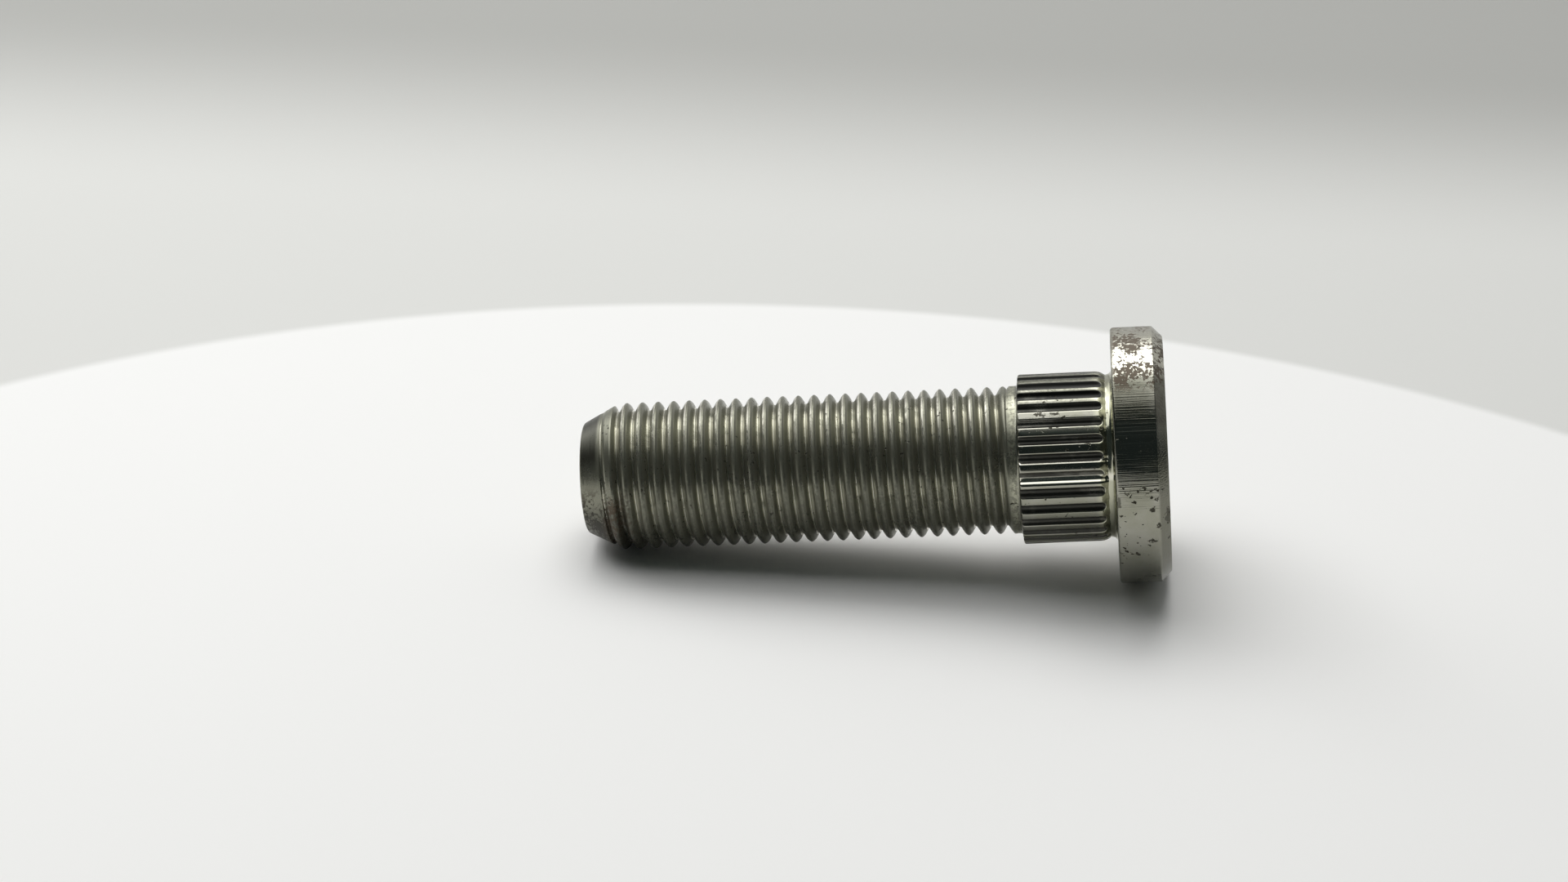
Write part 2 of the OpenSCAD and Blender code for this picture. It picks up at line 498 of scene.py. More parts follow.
@dataclass
class StudBody:
    """The visible stud: one closed skin over the CAD node.

    fine_shares are the places of the fine columns between two grooves, gathered at the grooves' edges,
    three for each plain column. ridge_shares are the places of the rows in half a pitch, close together
    at the root and at the crest's shoulder. The first fine column is the last before crest_middle.
    """

    shape: StudShape = field(default_factory=StudShape)
    columns_per_groove: int = 5
    fine_shares: tuple[float, ...] = (
        0.0, 0.07, 0.13, 0.19, 0.24, 0.28, 0.33, 0.43, 0.57, 0.67, 0.72, 0.76, 0.81, 0.87, 0.93
    )
    crest_middle: float = 0.5
    ridge_shares: tuple[float, ...] = (0.0, 0.028, 0.06, 0.105, 0.25, 0.285, 0.32, 0.43, 0.46)

    def turn_angles(self) -> np.ndarray:
        """Column angles of the plain and threaded stretches, from 0 to one full turn."""
        count = self.shape.collar.grooves * self.columns_per_groove
        return np.linspace(0.0, FULL_TURN, count + 1)

    def groove_angles(self) -> np.ndarray:
        """Column angles of the serrations.

        Each column lies at its share of the way from one groove to the next. It moves with the groove
        that it is nearer to as that groove is shifted and widened, and in between with both.

        Returns:
            Angles in radians, from the crest nearest to angle 0 on for one full turn.
        """
        count = self.shape.collar.grooves
        spacing = 360.0 / count
        share = np.array(self.fine_shares)
        first = -90.0 % spacing
        index = np.arange(count)[:, None]
        shift, widen, _, _ = self.shape.groove_traits()
        groove = (index + round((first + 90.0) / spacing)) % count
        after = (groove + 1) % count
        own = shift[groove] + share * widen[groove]
        other = shift[after] - (1.0 - share) * widen[after]
        blend = np.clip((share - 0.35) / 0.3, 0.0, 1.0)
        angles = (first + spacing * (index + share + own + (other - own) * blend)).ravel()
        ahead = 1 + int(np.count_nonzero(share > self.crest_middle))
        angles = np.concatenate([angles[-ahead:] - 360.0, angles[:-ahead]])
        return np.radians(np.append(angles, angles[0] + 360.0))

    def recess_outline(self) -> np.ndarray:
        """Outline of the recess from its middle over its floor and wall to its mouth.

        A rounded corner starts its radius times the tangent of half the turn before the corner.
        """
        h = self.shape.head
        end = -h.thickness
        floor = end + h.recess_depth
        mouth = h.recess_floor_radius + h.recess_wall
        slope = math.degrees(math.atan2(h.recess_depth, h.recess_wall))
        half_tangent = math.tan(math.radians(slope / 2.0))
        low, high = h.recess_floor_round, h.recess_mouth_round
        floor_edge = h.recess_floor_radius - low * half_tangent
        flat_start = mouth + high * half_tangent
        return np.concatenate(
            [
                line((0.0, floor), (floor_edge - 2.0 * FLAT_GAP, floor), 4),
                arc((floor_edge, floor - low), low, 90.0, 90.0 - slope, 5),
                arc((flat_start, end + high), high, 270.0 - slope, 270.0, 4),
                [[flat_start + FLAT_GAP, end]],
            ]
        )

    def rim_outline(self) -> np.ndarray:
        """Outline from the outer edge of the end face over the chamfer, the rim and the seat to the neck."""
        h, fillet = self.shape.head, self.shape.collar.seat_fillet
        end = -h.thickness
        soft = h.chamfer_round
        soft_run = soft * math.tan(math.radians(22.5))
        flat_edge = h.radius - h.chamfer
        chamfer_top = end + h.chamfer
        inset = 0.25 * h.chamfer
        seat_edge = h.radius - h.edge_round
        seat_start = self.shape.collar.neck_radius + fillet
        return np.concatenate(
            [
                arc((flat_edge - soft_run, end + soft), soft, 270.0, 315.0, 3),
                line((flat_edge + inset, end + inset), (h.radius - inset, chamfer_top - inset), 2),
                arc((h.radius - soft, chamfer_top + soft_run), soft, 315.0, 360.0, 3),
                line((h.radius, chamfer_top + FLAT_GAP), (h.radius, -h.edge_round - FLAT_GAP), 6),
                arc((seat_edge, -h.edge_round), h.edge_round, 0.0, 90.0, 5),
                line((seat_edge - FLAT_GAP, 0.0), (seat_start + FLAT_GAP, 0.0), 6),
                arc((seat_start, fillet), fillet, 270.0, 180.0, 6),
            ]
        )

    def add_head(self, skin: Skin) -> None:
        """Carries the head's outline, from the middle of its recess to the neck, round the axis."""
        recess, rim = self.recess_outline(), self.rim_outline()
        end_face = line(tuple(recess[-1]), (rim[0, 0] - FLAT_GAP, recess[-1, 1]), 4)
        outline = np.concatenate([recess[:-1], end_face, rim])
        angle = self.turn_angles()[None, :]
        skin.add_grid(angle, outline[:, :1], outline[:, 1:])

    def collar_heights(self) -> np.ndarray:
        """Heights of the collar's rows, close together where crests and grooves start and at the end.

        The last rows follow the sine of an angle, because the end of the crests is a quarter circle.
        """
        c = self.shape.collar
        crest_start = c.neck_length + c.crest_fade
        edge = c.end - c.end_chamfer
        return np.concatenate(
            [
                [c.seat_fillet + 0.06],
                np.linspace(c.neck_length + 0.05, crest_start + 0.1, 15),
                np.linspace(crest_start + 0.7, edge - 0.3, 6),
                edge + c.end_chamfer * np.sin(np.radians([0.0, 30.0, 55.0, 75.0, 90.0])),
            ]
        )

    def add_collar(self, skin: Skin) -> None:
        """The serrations, between two steps from plain columns to fine ones."""
        c = self.shape.collar
        fine = self.groove_angles()
        height = self.collar_heights()[:, None]
        radius = self.shape.collar_radius(fine[None, :], height)
        skin.add_grid(fine[None, :], radius, height)
        neck = self.plain_ring(c.neck_radius, c.seat_fillet)
        first, last = (
            np.stack([fine, radius[row], np.full_like(fine, height[row, 0])], 1) for row in (0, -1)
        )
        skin.add_step(neck, first, fine_above=True)
        skin.add_step(self.plain_ring(self.shape.foot_edge(), c.end), last, fine_above=False)

    def plain_ring(self, radius: float, height: float) -> np.ndarray:
        """Rows of angle, radius and height of a circle of plain columns."""
        angle = self.turn_angles()
        return np.stack([angle, np.full_like(angle, radius), np.full_like(angle, height)], 1)

    def add_foot(self, skin: Skin) -> None:
        """The rounded foot of the thread on the collar's end, and the plain band up to the first root."""
        t, c = self.shape.thread, self.shape.collar
        angle = self.turn_angles()[None, :]
        centre = (t.major_radius + t.foot_round, c.end + t.foot_round)
        rounding = arc(centre, t.foot_round, 270.0, 180.0, 4)[1:]
        foot = np.concatenate([[[self.shape.foot_edge(), c.end], [centre[0], c.end]], rounding])
        skin.add_grid(angle, foot[:, :1], foot[:, 1:])
        rise = np.linspace(centre[1], t.root_height_at_x, 6)[:, None]
        radius = self.shape.thread_radius(angle, rise)
        radius[0] = t.major_radius
        skin.add_grid(angle, radius, rise)

    def add_thread(self, skin: Skin) -> None:
        """The thread on rows that climb one pitch a turn.

        A wedge of rows leads from the level foot to the first climbing row, and another from the last
        one to the level start of the tip: in each, a row's share of the pitch is its share of the gap.
        """
        self.add_foot(skin)
        t = self.shape.thread
        angle = self.turn_angles()[None, :]
        turns = angle / FULL_TURN
        start = t.root_height_at_x
        full_turns = int((t.end - start - t.lead_stretch) / t.pitch) - 1
        half = np.array(self.ridge_shares)
        shares = np.concatenate([half, [0.5], 1.0 - half[:0:-1]])
        wedge_shares = np.append(shares, 1.0)[:, None]
        rows = np.append((np.arange(full_turns)[:, None] + shares).ravel(), float(full_turns))[:, None]
        top = start + t.pitch * (full_turns + 1)
        under = start + t.pitch * (turns + full_turns)
        for height in (
            start + t.pitch * turns * wedge_shares,
            start + t.pitch * (turns + rows),
            under + (top - under) * wedge_shares,
        ):
            skin.add_grid(angle, self.shape.thread_radius(angle, height), height)
        self.add_tip(skin, top)

    def add_tip(self, skin: Skin, start: float) -> None:
        """The plain lead cone, the rounded edge and the flat end of the tip.

        Args:
            skin: The skin that takes the patches.
            start: Height of the first row in millimetres.
        """
        t = self.shape.thread
        angle = self.turn_angles()[None, :]
        edge = t.tip_radius - t.tip_edge_round * math.tan(math.radians(45.0 - t.lead_angle / 2.0))
        rounding = arc((edge, t.end - t.tip_edge_round), t.tip_edge_round, t.lead_angle, 90.0, 5)
        rise = np.linspace(start, rounding[0, 1] - 0.1, 6)[:, None]
        cone = self.shape.thread_radius(angle, rise)
        skin.add_grid(angle, cone, rise)
        end = np.concatenate([rounding, line((edge - 0.15, t.end), (0.0, t.end), 6)])
        radius = np.concatenate([cone[-1:], np.broadcast_to(end[:, :1], (len(end), angle.size))])
        skin.add_grid(angle, radius, np.concatenate([rise[-1:], end[:, 1:]]))

    def build(self) -> bpy.types.Object:
        """Makes the skin's object."""
        skin = Skin()
        self.add_head(skin)
        self.add_collar(skin)
        self.add_thread(skin)
        return skin.build("stud_skin", self.shape)


@dataclass
class NodeTree:
    """Short calls for building a material's or the world's nodes."""

    tree: bpy.types.NodeTree

    @classmethod
    def emptied(cls, owner: bpy.types.ID) -> "NodeTree":
        """The nodes of a material or of the world, with Blender's own ones taken out."""
        owner.use_nodes = True
        owner.node_tree.nodes.clear()
        return cls(owner.node_tree)

    def add(self, kind: str, values: dict | None = None, **settings: object) -> bpy.types.Node:
        """Adds a node, sets its properties and links or sets its inputs.

        Args:
            kind: Blender's type name of the node.
            values: Input name or index to a number, colour or output socket.
            **settings: Properties of the node itself.

        Returns:
            The new node.
        """
        node = self.tree.nodes.new(kind)
        for name, value in settings.items():
            setattr(node, name, value)
        for name, value in (values or {}).items():
            self.put(node.inputs[name], value)
        return node

    def put(self, socket: Socket, value: object) -> None:
        """Links an output socket to an input, or sets the input to a number or a colour."""
        if isinstance(value, Socket):
            self.tree.links.new(value, socket)
        else:
            socket.default_value = value

    def noise(self, coords: Socket, scale: float, detail: float, roughness: float) -> Socket:
        """Noise value on the given coordinates."""
        values = {"Vector": coords, "Scale": scale, "Detail": detail, "Roughness": roughness}
        return self.add("ShaderNodeTexNoise", values).outputs["Fac"]

    def ramp(self, value: Value, low: float, high: float, first: float = 0.0, last: float = 1.0) -> Socket:
        """Smooth map of a value from low..high to first..last."""
        values = {"Value": value, "From Min": low, "From Max": high, "To Min": first, "To Max": last}
        return self.add("ShaderNodeMapRange", values, interpolation_type="SMOOTHSTEP").outputs["Result"]

    def math(self, operation: str, *values: Value) -> Socket:
        """The values taken one after the other with the same operation."""
        total = values[0]
        for value in values[1:]:
            total = self.add("ShaderNodeMath", {0: total, 1: value}, operation=operation).outputs[0]
        return total

    def product(self, *factors: Value) -> Socket:
        """Product of the factors."""
        return self.math("MULTIPLY", *factors)

    def largest(self, *values: Value) -> Socket:
        """Largest of the values."""
        return self.math("MAXIMUM", *values)

    def inverse(self, value: Value) -> Socket:
        """One less the value."""
        return self.math("SUBTRACT", 1.0, value)

    def vector(self, operation: str, a: Socket, b: object = (0.0, 0.0, 0.0)) -> bpy.types.bpy_prop_collection:
        """Outputs of one step on vectors."""
        return self.add("ShaderNodeVectorMath", {0: a, 1: b}, operation=operation).outputs

    def stretched(self, coords: Socket, scale: tuple[float, float, float]) -> Socket:
        """Coordinates scaled along each axis."""
        return self.add("ShaderNodeMapping", {"Vector": coords, "Scale": scale}).outputs["Vector"]

    def mix(self, share: Value, a: Rgba | Socket, b: Rgba | Socket) -> Socket:
        """Colour a where share is 0 and b where it is 1."""
        node = self.add("ShaderNodeMix", data_type="RGBA")
        for key, value in ((("Factor", "VALUE"), share), (("A", "RGBA"), a), (("B", "RGBA"), b)):
            self.put(next(s for s in node.inputs if (s.name, s.type) == key), value)
        return next(s for s in node.outputs if s.type == "RGBA")


@dataclass(frozen=True)
class Mark:
    """A dark pit or stain: its middle, its half lengths across and along the stud in mm, its strength."""

    place: tuple[float, float, float]
    half: tuple[float, float]
    strength: float = 0.9


@dataclass(frozen=True)
class ZincFinish:
    """Dull zinc plate on steel: grey with an olive cast, brighter where worn, stained and pitted.

    Some of its colours are painted shade, painted highlights and painted reflections.
    """

    plate: Rgba = (0.36, 0.355, 0.305, 1.0)
    olive: Rgba = (0.30, 0.30, 0.24, 1.0)
    cream_and_highlight: Rgba = (0.50, 0.50, 0.38, 1.0)
    thread_olive: Rgba = (0.22, 0.22, 0.17, 1.0)
    grime_and_shade: Rgba = (0.11, 0.11, 0.085, 1.0)
    tip_shade_reflection: Rgba = (0.055, 0.055, 0.042, 1.0)
    # Painted shade: the two groove colours darken the collar's grooves.
    groove: Rgba = (0.045, 0.045, 0.038, 1.0)
    upper_groove_shade: Rgba = (0.012, 0.012, 0.01, 1.0)
    glint: Rgba = (0.97, 0.95, 0.84, 1.0)
    bright: Rgba = (0.73, 0.71, 0.61, 1.0)
    rust: Rgba = (0.085, 0.062, 0.038, 1.0)
    pit: Rgba = (0.04, 0.037, 0.027, 1.0)
    worn: Rgba = (0.36, 0.355, 0.30, 1.0)
    roughness: tuple[float, float] = (0.12, 0.24)
    marks: tuple[Mark, ...] = (
        Mark((-8.0, -9.1, -3.2), (0.2, 0.45)),
        Mark((-9.2, -7.9, -1.8), (0.25, 0.26)),
        Mark((-3.1, -11.7, -2.5), (0.22, 0.15)),
        Mark((-3.4, -11.6, -2.0), (0.14, 0.2)),
        Mark((-3.6, -11.5, -2.8), (0.1, 0.14)),
        Mark((-3.5, -11.6, -1.1), (0.08, 0.35)),
        Mark((-4.2, -11.4, -3.6), (0.2, 0.2)),
        Mark((-4.3, -11.3, -0.2), (0.6, 0.2), 0.6),
        Mark((-5.6, -10.8, -0.4), (0.15, 0.3)),
        Mark((-5.4, -10.9, -1.7), (0.1, 0.2)),
        Mark((-5.1, -11.0, -3.2), (0.25, 0.3)),
        Mark((-6.6, -10.1, -3.8), (0.3, 0.22)),
        Mark((-5.7, -9.9, -4.7), (0.9, 0.25), 0.6),
        Mark((-7.8, -8.4, -4.8), (0.2, 0.15)),
        Mark((5.4, -5.9, 5.1), (0.16, 0.2)),
        Mark((-7.5, -3.0, 2.1), (0.2, 0.35)),
        Mark((-7.1, -3.7, 3.9), (0.12, 0.12)),
        Mark((4.1, -6.9, 6.9), (0.2, 0.6)),
        Mark((4.1, -6.9, 5.4), (0.18, 0.5)),
        Mark((3.8, -7.1, 4.6), (0.14, 0.3)),
    )

    def build(self) -> bpy.types.Material:
        """Makes the material.

        Returns:
            A metal whose colour, roughness and bump vary in the stud's own coordinates.
        """
        material = bpy.data.materials.new(SLOT)
        layers = ZincLayers(NodeTree.emptied(material), self)
        layers.lay_plate()
        layers.lay_thread()
        layers.lay_collar()
        layers.lay_painted_shade()
        layers.lay_stains()
        layers.lay_pits()
        layers.n.add("ShaderNodeOutputMaterial", {"Surface": layers.shader()})
        return material


@dataclass
class ZincLayers:
    """The nodes of the zinc finish: a colour, on which layer after layer is laid, and shared masks.

    A mask is 1 where a layer shows. A zone's limits are millimetres along X or Z, and the other limits
    are levels of a noise, which lie about 0.5. seam and lines are the masks of the thread, slot that of
    the collar's grooves, and they are kept with stain and pits for the shader.
    """

    n: NodeTree
    finish: ZincFinish
    colour: Socket = field(init=False)
    seam: Socket = field(init=False)
    lines: Socket = field(init=False)
    slot: Socket = field(init=False)
    stain: Socket = field(init=False)
    pits: Socket = field(init=False)

    def __post_init__(self) -> None:
        """Makes the coordinates, the clouds and blotches, and the masks of the stud's parts."""
        n = self.n
        self.coords = n.add("ShaderNodeTexCoord").outputs["Object"]
        self.relief, self.polish, *self.turn = (
            n.add("ShaderNodeAttribute", attribute_name=name).outputs["Fac"]
            for name in ("relief", "polish", "turn_cos", "turn_sin")
        )
        split = n.add("ShaderNodeSeparateXYZ", {"Vector": self.coords})
        self.x, self.z = split.outputs["X"], split.outputs["Z"]
        self.cloud = n.noise(self.coords, 240.0, 5.0, 0.6)
        self.blotch = n.noise(self.coords, 3300.0, 5.0, 0.62)
        self.thread = self.zone(self.z, 8.9, 9.3)
        self.collar = n.product(self.zone(self.z, 0.2, 0.6), n.inverse(self.thread))
        self.rim = self.zone(self.z, 0.2, -0.4)
        self.tip = n.product(self.zone(self.z, 44.5, 47.5), self.zone(self.x, -0.5, -3.5))

    def zone(self, axis: Socket, low: float, high: float, first: float = 0.0, last: float = 1.0) -> Socket:
        """Smooth map of a coordinate from low..high in millimetres to first..last."""
        return self.n.ramp(axis, low * MM, high * MM, first, last)

    def cover(self, mask: Socket, coat: Rgba | Socket) -> None:
        """Lays a colour over the colour so far where the mask is 1."""
        self.colour = self.n.mix(mask, self.colour, coat)

    def ridge_line(self, place: float, half: float) -> Socket:
        """Mask of a line along the thread.

        The dot product of the direction at a point and the direction at the line's middle is the cosine
        of the angle between them, where a full circle is one pitch.

        Args:
            place: Middle of the line in pitches from the root towards the tip.
            half: Half of its width in pitches. The mask fades over half of that.

        Returns:
            The mask.
        """
        n, middle = self.n, FULL_TURN * place
        cosine, sine = self.turn
        dot = n.math("ADD", n.product(cosine, math.cos(middle)), n.product(sine, math.sin(middle)))
        outer, inner = (math.cos(FULL_TURN * half * share) for share in (1.25, 0.75))
        return n.ramp(dot, outer, inner)

    def lay_plate(self) -> None:
        """Grey plate with olive clouds, a creamy neck as a painted highlight, and an olive thread."""
        n, finish = self.n, self.finish
        self.colour = n.mix(n.ramp(self.cloud, 0.38, 0.66), finish.plate, finish.olive)
        # Painted highlight: a lighter, creamy band on the neck by the seat.
        neck = n.product(self.zone(self.z, -0.1, 0.2), self.zone(self.z, 2.0, 1.3), 0.8)
        self.cover(neck, finish.cream_and_highlight)
        self.cover(n.product(self.thread, 0.9), finish.thread_olive)

    def lay_thread(self) -> None:
        """Dull rolled seam on the crest, darker below by painted shade, thin polished lines beside it and
        in the root, which are also painted highlights, and a pale run-out.
        """
        n, x, finish = self.n, self.x, self.finish
        below = self.zone(x, 0.0, -0.8)
        self.seam = n.product(self.ridge_line(0.5, 0.13), n.ramp(self.blotch, 0.34, 0.6, 0.3, 1.0))
        # The dull seam is darker on the lower side: painted shade.
        self.cover(n.product(self.seam, n.ramp(below, 0.0, 1.0, 0.35, 0.8)), finish.grime_and_shade)
        # Thin polished lines that are also painted highlights, the shoulder line mostly on the upper side.
        broken = n.ramp(n.noise(self.coords, 700.0, 3.0, 0.6), 0.36, 0.5, 0.25, 1.0)
        shoulder = n.product(self.ridge_line(0.622, 0.06), broken, self.zone(x, 1.2, 2.6, 0.15, 1.0))
        root = n.product(self.ridge_line(0.06, 0.045), broken)
        self.lines = n.largest(shoulder, root)
        # Painted highlight: the shoulder line is brighter above, and the root line glints below.
        self.cover(shoulder, n.mix(self.zone(x, 1.0, 2.6), finish.worn, finish.bright))
        self.cover(root, n.mix(below, finish.bright, finish.glint))
        runout = n.product(self.zone(self.z, 10.1, 9.5), self.thread, n.ramp(self.blotch, 0.56, 0.44), 0.7)
        self.cover(runout, finish.cream_and_highlight)

    def lay_collar(self) -> None:
        """Grey dirt on the upper side of the collar, painted shade in the grooves all round and brighter worn
        flats.
        """
        n, x, finish = self.n, self.x, self.finish
        greyed = n.product(self.zone(x, 4.6, 5.8), self.collar, self.zone(self.z, 1.8, 2.6))
        self.cover(n.product(greyed, n.ramp(self.blotch, 0.35, 0.6, 0.85, 0.4)), finish.grime_and_shade)
        # Painted shade in the collar's grooves, wider and darker on the upper side.
        upper = self.zone(x, 4.5, 5.8)
        sunk = n.ramp(n.math("SUBTRACT", self.relief, n.product(upper, 0.12)), 0.92, 0.68)
        patchy = n.ramp(self.cloud, 0.3, 0.5, 0.7, 1.0)
        self.slot = n.product(sunk, self.collar, patchy, n.inverse(self.polish))
        self.cover(self.slot, n.mix(upper, finish.groove, finish.upper_groove_shade))
        self.cover(self.polish, finish.bright)

    def lay_painted_shade(self) -> None:
        """Painted shade on the rim's side and the chamfer's lower side, painted dark reflections on the tip.
        """
        n, x, z = self.n, self.x, self.z
        # Painted shade: a darker band on the rim's side, mottled a little.
        rim_shade = n.product(self.zone(x, 7.6, 6.6), self.zone(x, 2.0, 3.5), self.rim)
        self.cover(n.product(rim_shade, n.ramp(self.cloud, 0.3, 0.6, 0.4, 0.8)), self.finish.grime_and_shade)
        # Painted shade: the chamfer darker on its lower side.
        self.cover(n.product(self.zone(z, -3.8, -4.1), self.zone(x, 3.0, -1.0, 0.0, 0.7)), self.finish.grime_and_shade)
        # Painted reflection of shade: the tip's lower side darkened in mottles.
        lower_tip_reflection = n.product(self.zone(x, -2.0, -4.3, 0.0, 0.95), n.ramp(self.blotch, 0.40, 0.52, 0.6, 1.0))
        self.cover(n.product(self.tip, lower_tip_reflection), self.finish.tip_shade_reflection)
        # Painted reflection: the upper side of the plain cone at the tip darkened.
        cone = n.product(self.zone(z, 48.6, 49.0), self.zone(z, 50.45, 50.3))
        self.cover(n.product(cone, self.zone(x, 0.0, 2.2, 0.0, 0.95)), self.finish.tip_shade_reflection)

    def lay_stains(self) -> None:
        """Brown mottling on the rim's upper side over a painted highlight, and on the tip's lower side."""
        n, x = self.n, self.x
        # Painted highlight: the top of the rim lighter.
        self.cover(n.product(self.rim, self.zone(x, 7.0, 8.2), 0.5), self.finish.bright)
        spread = n.math(
            "ADD",
            n.ramp(n.noise(self.coords, 420.0, 2.0, 0.5), 0.3, 0.7, 0.12, -0.12),
            n.product(self.tip, 0.05),
            n.product(self.rim, self.zone(x, 8.2, 7.2, 0.0, 0.008)),
        )
        patchy = n.ramp(n.math("ADD", self.blotch, spread), 0.49, 0.54)
        stained = n.largest(n.product(self.rim, self.zone(x, 5.4, 6.8)), self.tip)
        self.stain = n.product(stained, patchy)
        self.cover(n.product(self.stain, 0.95), self.finish.rust)
        # On the tip's last turns the stains are darker: partly rust, partly a painted reflection of shade.
        self.cover(n.product(self.stain, self.thread, self.zone(self.z, 47.5, 49.0)), self.finish.pit)

    def lay_pits(self) -> None:
        """Small pits, more of them on the lower side of the rim, on the collar and along the thread."""
        n, x = self.n, self.x
        low_rim = n.product(self.rim, self.zone(x, -1.0, -3.0))
        specks = n.noise(n.stretched(self.coords, (1.0, 1.0, 0.75)), 2600.0, 2.0, 0.5)
        crowded = n.largest(low_rim, self.thread, n.product(self.collar, 0.7))
        limit = n.math(
            "SUBTRACT",
            0.78,
            n.product(crowded, 0.05),
            n.ramp(n.noise(self.coords, 330.0, 2.0, 0.5), 0.4, 0.7, 0.0, 0.09),
            n.product(low_rim, self.zone(x, -6.8, -4.5, 0.0, 0.03)),
        )
        sharp = n.ramp(n.product(n.math("SUBTRACT", specks, limit), 40.0), 0.0, 1.0)
        self.pits = n.largest(sharp, self.marked())
        self.cover(self.pits, self.finish.pit)

    def marked(self) -> Socket:
        """Mask of all marks: ellipsoids whose edges are ragged by a little noise in the coordinates."""
        n = self.n
        noise = {"Vector": self.coords, "Scale": 2600.0, "Detail": 3.0}
        rag = n.vector("SUBTRACT", n.add("ShaderNodeTexNoise", noise).outputs["Color"], (0.5, 0.5, 0.5))
        ragged = n.vector("ADD", self.coords, n.stretched(rag["Vector"], (0.9 * MM,) * 3))["Vector"]
        total = 0.0
        for mark in self.finish.marks:
            away = n.vector("SUBTRACT", ragged, tuple(value * MM for value in mark.place))["Vector"]
            across, along = (1.0 / (half * MM) for half in mark.half)
            reach = n.vector("LENGTH", n.stretched(away, (across, across, along)))["Value"]
            total = n.largest(n.ramp(reach, 1.2, 0.75, 0.0, mark.strength), total)
        return total

    def shader(self) -> Socket:
        """Makes the shader of the finished colour.

        Stains, pits, the seam and the grooves are duller. A thin film of dirt on the thread and in the
        stains scatters light like paint. The bump is grain everywhere, and fine lines along the axis on
        the rim and round the thread.

        Returns:
            The output of the shader.
        """
        n = self.n
        plain_thread = n.product(self.thread, n.inverse(self.lines))
        flaws = n.largest(self.stain, self.pits)
        dull = n.largest(
            flaws, n.product(self.seam, 0.8), n.product(self.slot, 0.6), n.product(plain_thread, 0.45)
        )
        rough = n.math("ADD", n.ramp(self.cloud, 0.3, 0.75, *self.finish.roughness), n.product(dull, 0.3))
        film = n.largest(
            n.product(plain_thread, 0.26), n.product(self.stain, 0.5), n.product(self.slot, 0.3)
        )
        grain = n.noise(self.coords, 2400.0, 4.0, 0.65)
        drawn = n.noise(n.stretched(self.coords, (8000.0, 8000.0, 60.0)), 1.0, 2.0, 0.5)
        rolled = n.noise(n.stretched(self.coords, (130.0, 130.0, 6000.0)), 1.0, 2.0, 0.5)
        strokes = n.math("ADD", n.product(drawn, self.rim), n.product(rolled, plain_thread))
        height = n.math("ADD", n.product(grain, 0.35), n.product(strokes, 1.5), n.product(flaws, -0.8))
        bump = n.add("ShaderNodeBump", {"Height": height, "Strength": 0.6, "Distance": 0.03 * MM})
        values = {
            "Base Color": self.colour,
            "Roughness": rough,
            "Metallic": n.inverse(film),
            "Normal": bump.outputs["Normal"],
        }
        return n.add("ShaderNodeBsdfPrincipled", values).outputs["BSDF"]


def placed(x: np.ndarray, y: np.ndarray, z: np.ndarray, place: np.ndarray) -> Matrix:
    """Matrix of an object with the given axes and place."""
    rows = np.stack([x, y, z, place], 1).tolist()
    return Matrix([*rows, (0.0, 0.0, 0.0, 1.0)])


@dataclass(frozen=True)
class PhotoCamera:
    """The photograph's view: the stud lies across the picture, its tip to the left.

    Distances are in millimetres and angles in degrees. seat is the place of the seat's centre, right of
    and below the picture's centre, at its own depth.
    """

    sensor_width: float = 36.0
    focal_pixels: float = 4500.0
    picture_width: float = 1920.0
    yaw: float = 5.41
    roll: float = 2.48
    seat_right: float = 31.37
    seat_down: float = 1.36
    seat_depth: float = 348.26

    def axes(self) -> np.ndarray:
        """The stud's X, Y and Z as columns, in the camera's right, down and forward directions.

        Z points left, away by yaw and down by roll. X is the camera's up made square to Z.
        """
        yaw, roll = math.radians(self.yaw), math.radians(self.roll)
        z = np.array([-math.cos(yaw) * math.cos(roll), math.cos(yaw) * math.sin(roll), math.sin(yaw)])
        up = np.array([0.0, -1.0, 0.0])
        x = up - (up @ z) * z
        x /= np.linalg.norm(x)
        return np.stack([x, np.cross(z, x), z], 1)

    def build(self) -> bpy.types.Object:
        """Makes the camera and sets it as the scene's."""
        turn = self.axes()
        place = -turn.T @ np.array([self.seat_right, self.seat_down, self.seat_depth]) * MM
        right, down, forward = turn
        data = bpy.data.cameras.new("photo_camera")
        data.sensor_width = self.sensor_width
        data.lens = self.focal_pixels / self.picture_width * self.sensor_width
        data.clip_start, data.clip_end = 0.01, 20.0
        camera = new_object("photo_camera", data)
        camera.matrix_world = placed(right, -down, -forward, place)
        bpy.context.scene.camera = camera
        return camera


@dataclass(frozen=True)
class Directions:
    """Up from the floor, along the stud to its tip and away from the camera, as unit vectors."""

    up: Vector
    along: Vector
    away: Vector


